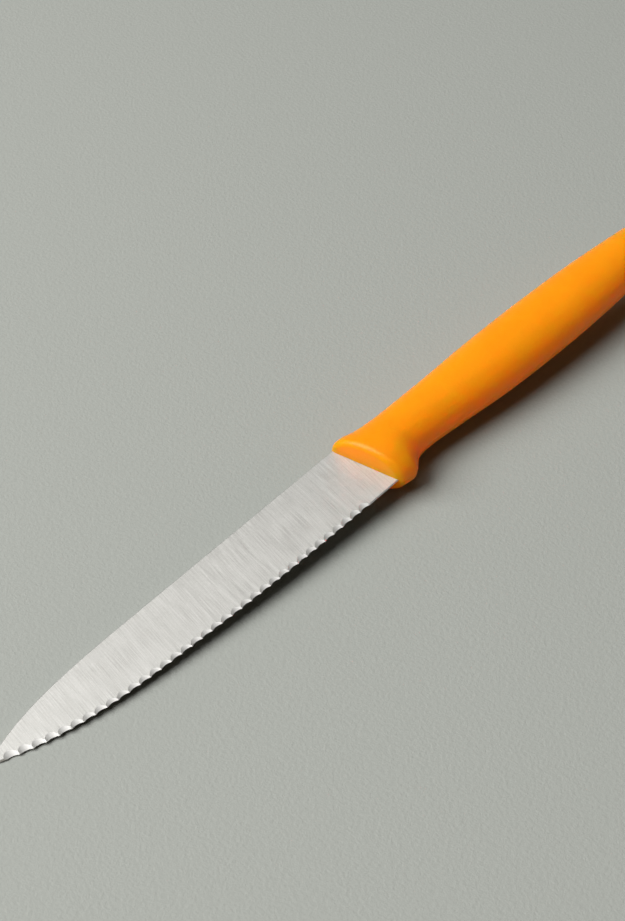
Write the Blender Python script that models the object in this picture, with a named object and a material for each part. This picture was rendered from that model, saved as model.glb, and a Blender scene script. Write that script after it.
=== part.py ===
"""Serrated vegetable knife, lying on its side on a table.

It has two pieces: a stamped and ground stainless blade with a hidden tang, and a plastic handle
moulded round the tang. The dimensions below are millimetres in the knife's own directions: x runs from
the tip to the butt, y from the edge to the spine, and z up from the blade's middle plane.
"""

import math

import bmesh
import bpy
from mathutils import Vector

for old in list(bpy.data.objects):
    bpy.data.objects.remove(old, do_unlink=True)

MM = 0.001

# The whole knife
BLADE_LENGTH = 120.1      # tip to the handle's front face, at the height below
FRONT_MIDDLE = 1.65
FRONT_LEAN = 0.228        # the front face leans back towards the edge, length per height
HANDLE_LENGTH = 118.0
TOUCHING_GAP = 0.3        # clearance between the handle and the steel inside it

# Blade outline: the spine curves up from the tip, then runs straight
SPINE_CURVE = ((0.0, 0.0), (11.25, 6.61), (31.6, 7.46), (49.7, 8.21))
SPINE_STEPS = 22
SPINE_AT_FRONT = 11.12
SPINE_RISE = 0.0415

# The edge line, on which the points of the teeth lie, in two curves that meet smoothly
EDGE_BELLY = ((0.0, 0.0), (19.5, -8.19), (35.35, -7.82), (60.0, -8.41))
EDGE_REAR = ((60.0, -8.41), (80.0, -8.89), (102.1, -8.31), (122.1, -7.43))
EDGE_STEPS = 60
TIP_BLUNT = 0.25          # length that the tip's small end face takes off

# The two ground sides are flat and close up towards the edge and the tip
TIP_THICKNESS = 0.66
SPINE_THICKNESS = 1.26    # at the handle's front face
EDGE_THICKNESS = 0.44     # at the handle's front face, above the edge bevel

# Serration: a row of round hollows ground into the upper side, square to the knife's length
SCALLOP_COUNT = 35
SCALLOP_PITCH = 3.1
LAST_SCALLOP = 110.07     # middle of the scallop nearest the handle
SCALLOP_RADIUS = 3.8
SCALLOP_SLOPE = math.tan(math.radians(15.0))
SCALLOP_STEPS = 8
FRONT_RUNOUT = 1.5        # reach of the first scallop past its middle, and of the last
REAR_RUNOUT = 1.9
BACK_BEVEL_SLOPE = math.tan(math.radians(20.0))
BACK_BEVEL_HEIGHT = 0.6
PLAIN_BEVEL_HEIGHT = 0.3
BEVEL_SHARE = 0.5         # near the tip a bevel takes no more of the blade's height than this
TIP_STEPS = 4
HEEL_STEPS = 4

# Tang, at the strip's full thickness, with two holes for the plastic to flow through
STRIP_THICKNESS = 1.26
SHOULDER_DEPTH = 2.0      # the full-height blade enters the handle this far
TANG_MIDDLE = 3.4
TANG_ROOT_HALF = 4.0
TANG_END_HALF = 2.9
TANG_END = 186.0
TANG_FILLET = 1.5
TANG_STEP = 1.0           # length over which the ground sides run out to the strip's thickness
TANG_HOLES = (141.0, 170.0)
TANG_HOLE_RADIUS = 2.0
TANG_END_STEPS = 8
FILLET_STEPS = 5
HOLE_SIDES = 24
CUTTER_LENGTH = 6.0
ENTRY_MARGIN = 0.15       # the ground sides are divided this far in front of the handle
POCKET_OVERRUN = 3.0      # the pocket's cutter starts this far in front of the handle

# Handle sections: distance from the front face, middle height, half depth, half thickness
HANDLE_SECTIONS = (
    (0.0, 1.75, 10.25, 6.7),
    (3.0, 1.60, 10.45, 6.7),
    (5.5, 1.25, 10.10, 6.6),
    (8.5, 1.95, 9.00, 6.4),
    (12.0, 2.80, 7.95, 6.15),
    (18.0, 3.25, 7.60, 6.1),
    (30.0, 3.15, 8.10, 6.3),
    (46.0, 3.05, 9.05, 6.55),
    (66.0, 3.20, 9.30, 6.7),
    (84.0, 3.45, 8.85, 6.6),
    (100.0, 3.70, 7.80, 6.3),
    (118.0, 3.90, 6.20, 5.7),
)
SECTION_POWER = 2.1       # 2 is an ellipse, more is squarer
SECTION_SIDES = 48
RIM_RADIUS = 1.7
RIM_STEPS = 4
GUARD_LENGTH = 14.0
GUARD_STEP = 1.1
GRIP_STEP = 3.0
LEAN_FADE = 22.0          # the sections stand upright this far behind the front face
BUTT_LENGTH = 9.5         # the butt closes over this length
BUTT_POWER = 2.2
BUTT_ANGLES = (12, 24, 36, 48, 59, 69, 78, 85)

STEEL_COLOUR = (0.60, 0.59, 0.56)
STEEL_ROUGHNESS = 0.32
PLASTIC_COLOUR = (0.98, 0.32, 0.01)
PLASTIC_ROUGHNESS = 0.42


def smoothstep(t):
    t = min(max(t, 0.0), 1.0)
    return t * t * (3.0 - 2.0 * t)


def bezier(control, steps):
    """Points along a curve of any number of control points, by repeated division."""
    points = []
    for i in range(steps + 1):
        level = [Vector(p) for p in control]
        while len(level) > 1:
            level = [a.lerp(b, i / steps) for a, b in zip(level, level[1:])]
        points.append((level[0].x, level[0].y))
    return points


def height_on(line, x):
    """Height at x of a line of points that runs in +x, continued straight past its end."""
    for (x0, y0), (x1, y1) in zip(line, line[1:]):
        if x <= x1:
            break
    return y0 + (y1 - y0) * (x - x0) / (x1 - x0)


SPINE_LINE = bezier(SPINE_CURVE, SPINE_STEPS)
EDGE_LINE = bezier(EDGE_BELLY, EDGE_STEPS) + bezier(EDGE_REAR, EDGE_STEPS)[1:]


def front_x(y):
    """The handle's front face at height y."""
    return BLADE_LENGTH - FRONT_LEAN * (y - FRONT_MIDDLE)


def spine_y(x):
    if x < SPINE_CURVE[-1][0]:
        return height_on(SPINE_LINE, x)
    return SPINE_AT_FRONT - SPINE_RISE * (BLADE_LENGTH - x)


def edge_y(x):
    return height_on(EDGE_LINE, x)


def ground_half(x, y):
    """Half the thickness of the ground blade, on the plane that its three named thicknesses set."""
    tip = TIP_THICKNESS / 2
    height = SPINE_AT_FRONT - edge_y(BLADE_LENGTH)
    per_height = (SPINE_THICKNESS - EDGE_THICKNESS) / 2 / height
    per_length = (SPINE_THICKNESS / 2 - tip - per_height * SPINE_AT_FRONT) / BLADE_LENGTH
    return tip + per_length * x + per_height * y


def strip_half(x, y):
    return STRIP_THICKNESS / 2


def bevel_top(x, height):
    """Where an edge bevel of this height leaves the ground side."""
    return edge_y(x) + min(height, BEVEL_SHARE * (spine_y(x) - edge_y(x)))


def back_bevel_z(x, y):
    """The bevel that runs along the whole edge on the lower side."""
    top = bevel_top(x, BACK_BEVEL_HEIGHT)
    return BACK_BEVEL_SLOPE * (top - y) - ground_half(x, top)


class Scallop:
    """One hollow of the serration: a round trough in the y direction that slopes down to the edge."""

    def __init__(self, middle_x):
        closing = SCALLOP_SLOPE + BACK_BEVEL_SLOPE
        spread = 2.0 * SCALLOP_RADIUS * closing
        lean = (edge_y(middle_x + 1.0) - edge_y(middle_x - 1.0)) / 2.0
        depth = SCALLOP_PITCH**2 / (4.0 * spread) - spread * lean**2 / 4.0
        peak = edge_y(middle_x) + depth
        self.x = middle_x
        self.level = back_bevel_z(middle_x, peak) - SCALLOP_SLOPE * peak

    def level_at(self, x):
        """Height of the trough's surface at x, carried to y = 0."""
        return self.level + (x - self.x) ** 2 / (2.0 * SCALLOP_RADIUS)

    def top_y(self, x):
        """Where the trough meets the ground side."""
        side = ground_half(x, 0.0)
        per_height = ground_half(x, 1.0) - side
        return (side - self.level_at(x)) / (SCALLOP_SLOPE - per_height)

    def cut_y(self, x):
        """Where the trough meets the back bevel, which is the cutting edge."""
        return (back_bevel_z(x, 0.0) - self.level_at(x)) / (SCALLOP_SLOPE + BACK_BEVEL_SLOPE)

    def meeting_x(self, other):
        """The ridge between this scallop and the next one."""
        return (self.x + other.x) / 2.0 + SCALLOP_RADIUS * (other.level - self.level) / (other.x - self.x)


def evenly(start, end, count):
    """count values from start, with equal steps that would reach end next."""
    return [start + (end - start) * i / count for i in range(count)]


def edge_stations():
    """(x, scallop or None) from the tip to the heel, whose end lies inside the handle."""
    middles = [LAST_SCALLOP - i * SCALLOP_PITCH for i in reversed(range(SCALLOP_COUNT))]
    scallops = [Scallop(x) for x in middles]
    bounds = [middles[0] - FRONT_RUNOUT]
    bounds += [a.meeting_x(b) for a, b in zip(scallops, scallops[1:])]
    bounds.append(middles[-1] + REAR_RUNOUT)
    front_heel = front_x(edge_y(BLADE_LENGTH))
    stations = [(x, None) for x in evenly(TIP_BLUNT, bounds[0], TIP_STEPS)]
    for scallop, start, end in zip(scallops, bounds, bounds[1:]):
        stations += [(x, scallop) for x in evenly(start, end, SCALLOP_STEPS)]
    stations.append((bounds[-1], scallops[-1]))
    stations += [(x, None) for x in evenly(bounds[-1], front_heel - ENTRY_MARGIN, HEEL_STEPS)[1:]]
    stations += [(front_heel - ENTRY_MARGIN, None), (front_heel + SHOULDER_DEPTH, None)]
    return stations


def edge_rows(bm):
    """Three vertices a station: on the upper side, on the cutting edge and on the lower side."""
    rows = []
    for x, scallop in edge_stations():
        top = bevel_top(x, PLAIN_BEVEL_HEIGHT)
        cutting = edge_y(x)
        if scallop:
            top = max(top, scallop.top_y(x))
            cutting = max(cutting, scallop.cut_y(x))
        back = bevel_top(x, BACK_BEVEL_HEIGHT)
        corners = (
            (top, ground_half(x, top)),
            (cutting, back_bevel_z(x, cutting)),
            (back, -ground_half(x, back)),
        )
        rows.append([bm.verts.new(Vector((x, y, z)) * MM) for y, z in corners])
    return rows


def vertex_pairs(bm, outline, half_at, grow=0.0):
    """An upper and a lower vertex for each point of an outline."""
    pairs = []
    for x, y in outline:
        half = half_at(x, y) + grow
        pairs.append([bm.verts.new(Vector((x, y, z)) * MM) for z in (half, -half)])
    return pairs


def shoulder_x(y, grow):
    return front_x(y) + SHOULDER_DEPTH + grow


def shoulder_fillet(direction, grow):
    """From the shoulder round to the tang's root: direction 1 towards the spine, -1 towards the edge."""
    side = TANG_MIDDLE + direction * (TANG_ROOT_HALF + grow)
    radius = TANG_FILLET - grow
    outer = side + direction * radius
    corner = (shoulder_x(side, grow), side)
    return bezier(((shoulder_x(outer, grow), outer), corner, (corner[0] + radius, side)), FILLET_STEPS)


def upper_shoulder(grow):
    """From the spine down to the tang's root, inside the handle."""
    spine = spine_y(shoulder_x(SPINE_AT_FRONT, grow)) + grow
    return [(shoulder_x(spine, grow), spine)] + shoulder_fillet(1, grow)


def lower_shoulder(grow):
    """From the tang's root round on to the lower shoulder."""
    return shoulder_fillet(-1, grow)[::-1]


def tang_outline(grow):
    """From the tang's root along its upper side, round its end and back along its lower side."""
    top_root = upper_shoulder(grow)[-1]
    bottom_root = lower_shoulder(grow)[0]
    radius = TANG_END_HALF + grow
    points = [(top_root[0] + TANG_STEP, top_root[1])]
    for i in range(TANG_END_STEPS + 1):
        angle = math.pi * (0.5 - i / TANG_END_STEPS)
        along = TANG_END - TANG_END_HALF + radius * math.cos(angle)
        points.append((along, TANG_MIDDLE + radius * math.sin(angle)))
    points.append((bottom_root[0] + TANG_STEP, bottom_root[1]))
    return points


def add_walls_and_tang(bm, before, after, grow=0.0):
    """The walls along the vertex pairs before and after the tang and along the tang, and the tang's sides."""
    tang = vertex_pairs(bm, tang_outline(grow), strip_half, grow)
    chain = before + tang + after
    for pair, following in zip(chain, chain[1:]):
        bm.faces.new((pair[0], following[0], following[1], pair[1]))
    for side in (0, 1):
        bm.faces.new([pair[side] for pair in tang])
        bm.faces.new((before[-1][side], tang[0][side], tang[-1][side], after[0][side]))


def new_piece(bm, name, knife):
    """The object of a closed mesh, with its faces turned outwards, placed with the rest of the knife."""
    bmesh.ops.recalc_face_normals(bm, faces=bm.faces)
    mesh = bpy.data.meshes.new(name)
    bm.to_mesh(mesh)
    bm.free()
    piece = bpy.data.objects.new(name, mesh)
    piece.parent = knife
    bpy.context.scene.collection.objects.link(piece)
    return piece


def finish(piece, name, colour, roughness, metallic, crisp_degrees):
    """The piece's material, and smooth shading with crisp edges past the angle."""
    material = bpy.data.materials.new(name)
    material.use_nodes = True
    shader = material.node_tree.nodes["Principled BSDF"]
    shader.inputs["Base Color"].default_value = (*colour, 1.0)
    shader.inputs["Roughness"].default_value = roughness
    shader.inputs["Metallic"].default_value = metallic
    piece.data.materials.append(material)
    piece.data.shade_smooth()
    piece.data.set_sharp_from_angle(angle=math.radians(crisp_degrees))


def cut(piece, cutter):
    """Takes the cutter's shape out of the piece. The cutter is no part of the knife."""
    cutter.hide_render = True
    cutter.display_type = "WIRE"
    boolean = piece.modifiers.new(cutter.name, "BOOLEAN")
    boolean.operation = "DIFFERENCE"
    boolean.solver = "EXACT"
    boolean.object = cutter


def cut_across_tang(piece, name, radius, knife):
    """A round cut through the piece at each of the tang's holes."""
    for number, x in enumerate(TANG_HOLES, 1):
        bm = bmesh.new()
        bmesh.ops.create_cone(
            bm,
            cap_ends=True,
            segments=HOLE_SIDES,
            radius1=radius * MM,
            radius2=radius * MM,
            depth=CUTTER_LENGTH * MM,
        )
        bmesh.ops.translate(bm, verts=bm.verts, vec=Vector((x, TANG_MIDDLE, 0.0)) * MM)
        cut(piece, new_piece(bm, f"{name}_{number}", knife))


def build_blade(knife):
    """The ground blade, its serrated edge and its tang, all from one strip."""
    bm = bmesh.new()
    entry_x = front_x(SPINE_AT_FRONT) - ENTRY_MARGIN
    tip = (TIP_BLUNT, spine_y(TIP_BLUNT))
    spine = vertex_pairs(bm, [tip] + SPINE_LINE[1:] + [(entry_x, spine_y(entry_x))], ground_half)
    above = vertex_pairs(bm, upper_shoulder(0.0), ground_half)
    below = vertex_pairs(bm, lower_shoulder(0.0), ground_half)
    rows = edge_rows(bm)
    add_walls_and_tang(bm, spine + above, below)
    for side, column in ((0, 0), (1, 2)):
        line = [row[column] for row in rows]
        bm.faces.new([pair[side] for pair in spine] + line[-2::-1])
        bm.faces.new([pair[side] for pair in spine[-1:] + above + below] + line[:-3:-1])
    for row, following in zip(rows, rows[1:]):
        bm.faces.new((row[0], following[0], following[1], row[1]))
        bm.faces.new((row[1], following[1], following[2], row[2]))
    bm.faces.new((spine[0][0], *rows[0], spine[0][1]))
    bm.faces.new((below[-1][0], *rows[-1], below[-1][1]))
    blade = new_piece(bm, "blade", knife)
    cut_across_tang(blade, "tang_hole", TANG_HOLE_RADIUS, knife)
    finish(blade, "brushed_stainless", STEEL_COLOUR, STEEL_ROUGHNESS, 1.0, 12.0)


def section_at(u):
    """Middle height, half depth and half thickness at u behind the front face, by a smooth curve."""
    table = HANDLE_SECTIONS
    i = 0
    while i < len(table) - 2 and u > table[i + 1][0]:
        i += 1
    span = table[i + 1][0] - table[i][0]
    t = (u - table[i][0]) / span
    values = []
    for column in (1, 2, 3):
        slopes = []
        for j in (i, i + 1):
            low, high = table[max(j - 1, 0)], table[min(j + 1, len(table) - 1)]
            slopes.append((high[column] - low[column]) / (high[0] - low[0]))
        start, end = table[i][column], table[i + 1][column]
        ends = start + (end - start) * smoothstep(t)
        bend = slopes[0] * t * (1.0 - t) ** 2 - slopes[1] * t**2 * (1.0 - t)
        values.append(ends + span * bend)
    return values


def handle_stations():
    """(distance behind the front face, inset of the section, scale of the section) along the handle."""
    stations = []
    for i in range(RIM_STEPS + 1):
        angle = math.pi / 2 * i / RIM_STEPS
        stations.append((RIM_RADIUS * (1 - math.cos(angle)), RIM_RADIUS * (1 - math.sin(angle)), 1.0))
    butt_start = HANDLE_LENGTH - BUTT_LENGTH
    for start, end, step in ((RIM_RADIUS, GUARD_LENGTH, GUARD_STEP), (GUARD_LENGTH, butt_start, GRIP_STEP)):
        stations += [(u, 0.0, 1.0) for u in evenly(end, start, math.ceil((end - start) / step))[::-1]]
    for degrees in BUTT_ANGLES:
        angle = math.radians(degrees)
        along = BUTT_LENGTH * math.sin(angle) ** (2 / BUTT_POWER)
        stations.append((butt_start + along, 0.0, math.cos(angle) ** (2 / BUTT_POWER)))
    return stations


def section_ring(u, inset, scale):
    """The points of one section of the handle. Its sides straddle the middle, so it rests on a flat."""
    middle, depth, thickness = section_at(u)
    lean = FRONT_LEAN * (1 - smoothstep(u / LEAN_FADE))
    points = []
    for i in range(SECTION_SIDES):
        angle = 2 * math.pi * (i + 0.5) / SECTION_SIDES
        across, up = math.cos(angle), math.sin(angle)
        y = middle + (depth - inset) * scale * math.copysign(abs(across) ** (2 / SECTION_POWER), across)
        z = (thickness - inset) * scale * math.copysign(abs(up) ** (2 / SECTION_POWER), up)
        points.append(Vector((BLADE_LENGTH + u - lean * (y - FRONT_MIDDLE), y, z)))
    return points


def handle_rings():
    return [section_ring(*station) for station in handle_stations()]


def build_pocket(knife):
    """The room for the tang and the blade's shoulders, open at the front, with the pegs left standing."""
    bm = bmesh.new()
    grow = TOUCHING_GAP
    spine_x = front_x(SPINE_AT_FRONT) - POCKET_OVERRUN
    heel_y = edge_y(BLADE_LENGTH) - grow
    mouth = [(spine_x, spine_y(spine_x) + grow)]
    heel = [(shoulder_x(heel_y, grow), heel_y), (front_x(heel_y) - POCKET_OVERRUN, heel_y)]
    before = vertex_pairs(bm, mouth + upper_shoulder(grow), ground_half, grow)
    after = vertex_pairs(bm, lower_shoulder(grow) + heel, ground_half, grow)
    add_walls_and_tang(bm, before, after, grow)
    for side in (0, 1):
        bm.faces.new([pair[side] for pair in before + after])
    bm.faces.new((*before[0], *reversed(after[-1])))
    pocket = new_piece(bm, "tang_pocket", knife)
    cut_across_tang(pocket, "handle_peg", TANG_HOLE_RADIUS - grow, knife)
    return pocket


def build_handle(knife):
    """The moulded handle: a loft of rounded sections, with the tang's pocket cut into it."""
    bm = bmesh.new()
    rings = [[bm.verts.new(point * MM) for point in ring] for ring in handle_rings()]
    for ring, following in zip(rings, rings[1:]):
        for i in range(SECTION_SIDES):
            j = (i + 1) % SECTION_SIDES
            bm.faces.new((ring[i], ring[j], following[j], following[i]))
    bm.faces.new(rings[0])
    bm.faces.new(rings[-1])
    handle = new_piece(bm, "handle", knife)
    cut(handle, build_pocket(knife))
    finish(handle, "orange_plastic", PLASTIC_COLOUR, PLASTIC_ROUGHNESS, 0.0, 35.0)


def lay_on_table():
    """The empty that carries the knife. The origin is on the table under the middle of the knife."""
    points = [point for ring in handle_rings() for point in ring]
    middle_x = (TIP_BLUNT + max(p.x for p in points)) / 2
    middle_y = (min(p.y for p in points) + max(p.y for p in points)) / 2
    knife = bpy.data.objects.new("knife", None)
    knife.location = Vector((middle_x, middle_y, min(p.z for p in points))) * -MM
    bpy.context.scene.collection.objects.link(knife)
    return knife


knife_place = lay_on_table()
build_blade(knife_place)
build_handle(knife_place)
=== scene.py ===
"""Looks of the serrated vegetable knife: the ground steel blade and the moulded orange handle.

Sizes are millimetres in the knife's own directions: x runs from the tip to the butt, y from the edge to
the spine, and z up from the blade's middle plane. Finished pieces are moved to their place in the frame.
"""

import math

import bmesh
import bpy
from mathutils import Matrix, Vector


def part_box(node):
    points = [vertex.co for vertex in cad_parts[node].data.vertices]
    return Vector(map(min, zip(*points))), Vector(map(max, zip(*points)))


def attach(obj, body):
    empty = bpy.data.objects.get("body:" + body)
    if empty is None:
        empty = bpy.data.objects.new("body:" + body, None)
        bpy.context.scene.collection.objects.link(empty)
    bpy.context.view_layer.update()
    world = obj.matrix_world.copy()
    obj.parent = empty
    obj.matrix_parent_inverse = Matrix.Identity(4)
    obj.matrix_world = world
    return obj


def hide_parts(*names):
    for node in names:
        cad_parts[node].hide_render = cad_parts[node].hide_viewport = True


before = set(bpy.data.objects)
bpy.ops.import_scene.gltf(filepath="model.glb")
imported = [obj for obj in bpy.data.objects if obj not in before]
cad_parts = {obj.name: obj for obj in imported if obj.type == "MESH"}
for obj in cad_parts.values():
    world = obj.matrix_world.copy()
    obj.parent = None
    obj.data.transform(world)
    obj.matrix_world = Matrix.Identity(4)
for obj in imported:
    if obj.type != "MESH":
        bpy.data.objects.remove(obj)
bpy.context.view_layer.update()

MM = 0.001

# Blade outline: the spine curves up from the tip, then runs straight
BLADE_LENGTH = 120.1      # tip to the handle's front face, at the height of its middle
FRONT_MIDDLE = 1.65
FRONT_LEAN = 0.228        # the front face leans back towards the edge, length per height
SPINE_CURVE = ((0.0, 0.0), (11.25, 6.61), (31.6, 7.46), (49.7, 8.21))
SPINE_STEPS = 60
SPINE_AT_FRONT = 11.12    # its height at the handle's front face
SPINE_RISE = 0.0415       # of its straight part, height per length
SPINE_EASE = 0.09         # rounding of its two corners
SPINE_EASE_TIP = 0.02     # the same at the tip
SPINE_EASE_FADE = 8.0     # length behind the tip over which it grows
SPINE_EASE_STEPS = 3

# The edge line, on which the points of the teeth lie, in two curves that meet smoothly
EDGE_BELLY = ((0.0, 0.0), (19.5, -8.19), (35.35, -7.82), (60.0, -8.41))
EDGE_REAR = ((60.0, -8.41), (80.0, -8.89), (102.1, -8.31), (122.1, -7.43))
EDGE_STEPS = 80
TIP_BLUNT = 0.25          # length that the tip's small end face takes off

# The two ground sides are flat and close up towards the edge and the tip
TIP_THICKNESS = 0.66
SPINE_THICKNESS = 1.26    # at the handle's front face
EDGE_THICKNESS = 0.44     # at the handle's front face, before the edge is bevelled
BACK_BEVEL_SLOPE = math.tan(math.radians(20.0))
BACK_BEVEL_HEIGHT = 0.6
PLAIN_BEVEL_HEIGHT = 0.3  # of the upper side's bevel, left where no hollow is ground
BEVEL_SHARE = 0.5         # near the tip a bevel takes no more of the blade's height than this

# Serration: hollows ground into the upper side by a wheel that is tilted towards the edge
TOOTH_COUNT = 35
TOOTH_PITCH = 3.1
LAST_TOOTH = 110.07       # middle of the hollow nearest the handle
WHEEL_TILT = math.radians(18.5)
WHEEL_RADIUS = 3.79
WHEEL_WIDTH = 9.0
WHEEL_SIDES = 120
HOLLOW_RADIUS = 3.438     # of the scallops' curve, where their depth is worked out
REACH = 50.0              # length of the lines that find the blank's faces

# Shading: an edge of the mesh that bends by more than this many degrees shades sharp
CREASE = 35.0
FLAT_CREASE = 1.0         # beside the blade's flat sides
LYING_FLAT = 4.0          # a face within this many degrees of level belongs to them

# Tang, at the strip's full thickness, with two holes for the plastic to flow through
STRIP_THICKNESS = 1.26
SHOULDER_DEPTH = 2.0      # the blade's full height ends this far inside the handle
TANG_MIDDLE = 3.4
TANG_ROOT_HALF = 4.0
TANG_END_HALF = 2.9
TANG_END = 186.0
TANG_FILLET = 1.5
TANG_STEP = 1.0           # length over which the ground sides run out to the strip's thickness
TANG_HOLES = (141.0, 170.0)
HOLE_SPACING = TANG_HOLES[1] - TANG_HOLES[0]
TANG_HOLE_RADIUS = 2.0
TANG_CURVE_STEPS = 12
HOLE_SIDES = 48
DRILL_LENGTH = 6.0
MOULD_FIT = 0.02          # the plastic is moulded round the steel this closely
POCKET_OVERRUN = 3.0      # the pocket's cutter starts this far in front of the handle

# Handle sections: distance behind the front face, middle height, half depth, half thickness
HANDLE_LENGTH = 118.0
HANDLE_SECTIONS = (
    (0.0, 1.75, 10.25, 6.7),
    (3.0, 1.60, 10.45, 6.7),
    (5.5, 1.25, 10.10, 6.6),
    (8.5, 1.95, 9.00, 6.4),
    (12.0, 2.80, 7.95, 6.15),
    (18.0, 3.25, 7.60, 6.1),
    (30.0, 3.15, 8.10, 6.3),
    (46.0, 3.05, 9.05, 6.55),
    (66.0, 3.20, 9.30, 6.7),
    (84.0, 3.45, 8.85, 6.6),
    (100.0, 3.70, 7.80, 6.3),
    (118.0, 3.90, 6.20, 5.7),
)
SECTION_POWER = 2.1       # 2 is an ellipse, more is squarer
SECTION_SIDES = 176
SEAM_CROWDING = 0.75      # how much closer together the sides lie at the mould seam
SHELL_MARGIN = 0.11       # the surface keeps this far inside the solid, so that the seam fits too
RIM_RADIUS = 1.7
RIM_STEPS = 12
RIM_LAND = 0.35           # flat ring on the front face inside the rim
GUARD_LENGTH = 20.0
GUARD_STEP = 0.4          # between sections, as far back as the guard reaches
GRIP_STEP = 0.8           # between sections behind it
LEAN_FADE = 22.0          # the sections stand upright this far behind the front face
BUTT_LENGTH = 9.5         # the butt closes over this length
BUTT_POWER = 2.2
BUTT_STEPS = 26
BUTT_MARGIN = 0.14        # the butt ends this far inside the solid
POLE_WELD = 0.001         # vertices closer than this are merged at the butt's closed end
SEAM_HEIGHT = 0.08        # the mould's parting line stands proud by this much
SEAM_WIDTH = 0.16         # and fades out over about this much on either side


def smoothstep(t):
    """0 up to 0, 1 from 1 on, and a smooth rise between."""
    t = min(max(t, 0.0), 1.0)
    return t * t * (3.0 - 2.0 * t)


def bezier(control, steps):
    """Points along a curve of any number of control points, by repeated division."""
    points = []
    for i in range(steps + 1):
        level = [Vector(p) for p in control]
        while len(level) > 1:
            level = [a.lerp(b, i / steps) for a, b in zip(level, level[1:])]
        points.append((level[0].x, level[0].y))
    return points


def height_on(line, x):
    """Height at x of a line of points that runs in +x, continued straight past its ends."""
    for (x0, y0), (x1, y1) in zip(line, line[1:]):
        if x <= x1:
            break
    return y0 + (y1 - y0) * (x - x0) / (x1 - x0)


SPINE_LINE = bezier(SPINE_CURVE, SPINE_STEPS)
EDGE_LINE = bezier(EDGE_BELLY, EDGE_STEPS) + bezier(EDGE_REAR, EDGE_STEPS)[1:]


def front_x(y):
    """The handle's front face at height y."""
    return BLADE_LENGTH - FRONT_LEAN * (y - FRONT_MIDDLE)


def shoulder_x(y, grow=0.0):
    """The end of the blade's full height, inside the handle."""
    return front_x(y) + SHOULDER_DEPTH + grow


def spine_y(x):
    """The spine's height at x."""
    if x < SPINE_CURVE[-1][0]:
        return height_on(SPINE_LINE, x)
    return SPINE_AT_FRONT - SPINE_RISE * (BLADE_LENGTH - x)


def edge_y(x):
    """The height at x of the line that the points of the teeth lie on."""
    return height_on(EDGE_LINE, x)


def ground_half(x, y):
    """Half the thickness of the ground blade, on the plane that its three named thicknesses set."""
    tip = TIP_THICKNESS / 2
    height = SPINE_AT_FRONT - edge_y(BLADE_LENGTH)
    per_height = (SPINE_THICKNESS - EDGE_THICKNESS) / 2 / height
    per_length = (SPINE_THICKNESS / 2 - tip - per_height * SPINE_AT_FRONT) / BLADE_LENGTH
    return tip + per_length * x + per_height * y


def strip_half(x, y):
    """Half the thickness of the strip, which the tang keeps at every place."""
    return STRIP_THICKNESS / 2


def bevel_top(x, height):
    """Where an edge bevel of this height leaves the ground side."""
    return edge_y(x) + min(height, BEVEL_SHARE * (spine_y(x) - edge_y(x)))


def knife_origin():
    """The knife's own origin in the frame, from the blade's tip and shoulder and the handle's middle."""
    blade_low, blade_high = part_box("blade")
    handle_low, handle_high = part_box("handle")
    shoulder_height = spine_y(shoulder_x(SPINE_AT_FRONT))
    middle_z = (handle_low.z + handle_high.z) / 2
    return Vector((blade_low.x - TIP_BLUNT * MM, blade_high.y - shoulder_height * MM, middle_z))


ORIGIN = knife_origin()


def knife_point(x, y, z):
    """A place on the knife, in the frame."""
    return ORIGIN + Vector((x, y, z)) * MM


def new_object(name, data):
    """An object in the scene, with this mesh, lamp or camera."""
    made = bpy.data.objects.new(name, data)
    bpy.context.scene.collection.objects.link(made)
    return made


def mesh_of(bm, name):
    """The bmesh as a closed mesh whose faces point outwards."""
    bmesh.ops.recalc_face_normals(bm, faces=bm.faces)
    mesh = bpy.data.meshes.new(name)
    bm.to_mesh(mesh)
    bm.free()
    return mesh


def add_node(tree, kind, inputs=None, **settings):
    """A new node with its settings, whose inputs are linked or given a value."""
    node = tree.nodes.new(kind)
    for name, value in settings.items():
        setattr(node, name, value)
    for key, value in (inputs or {}).items():
        if isinstance(value, bpy.types.NodeSocket):
            tree.links.new(value, node.inputs[key])
        else:
            node.inputs[key].default_value = value
    return node


def maths(tree, operation, *values):
    """The result of one maths node."""
    return add_node(tree, "ShaderNodeMath", dict(enumerate(values)), operation=operation).outputs[0]


def added(tree, vector, other):
    """The sum of two vectors."""
    return add_node(tree, "ShaderNodeVectorMath", {0: vector, 1: other}, operation="ADD").outputs[0]


def scaled(tree, vector, size):
    """A vector times a number."""
    return add_node(tree, "ShaderNodeVectorMath", {0: vector, "Scale": size}, operation="SCALE").outputs[0]


def separate(tree, vector):
    """The three parts of a vector."""
    return add_node(tree, "ShaderNodeSeparateXYZ", {0: vector}).outputs


def combine(tree, x, y, z):
    """A vector from its three parts."""
    return add_node(tree, "ShaderNodeCombineXYZ", {0: x, 1: y, 2: z}).outputs[0]


def position(tree):
    """The place of each point, as a field."""
    return add_node(tree, "GeometryNodeInputPosition").outputs[0]


def named_field(tree, name, kind="FLOAT"):
    """The field that a named attribute holds."""
    node = add_node(tree, "GeometryNodeInputNamedAttribute", {"Name": name}, data_type=kind)
    return node.outputs["Attribute"]


def moved(tree, geometry, offset):
    """The geometry with each point moved by an offset."""
    return add_node(tree, "GeometryNodeSetPosition", {"Geometry": geometry, "Offset": offset}).outputs[0]


def placed(tree, geometry, place):
    """The geometry with each point at a new place."""
    return add_node(tree, "GeometryNodeSetPosition", {"Geometry": geometry, "Position": place}).outputs[0]


def cut_from(tree, body, *cutters, overlapping=False):
    """What is left of a body once the cutters, which may overlap one another, are taken out of it."""
    inputs = {"Mesh 1": body, "Self Intersection": overlapping}
    node = add_node(tree, "GeometryNodeMeshBoolean", inputs, operation="DIFFERENCE", solver="EXACT")
    for cutter in cutters:
        tree.links.new(cutter, node.inputs["Mesh 2"])
    return node.outputs["Mesh"]


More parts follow.
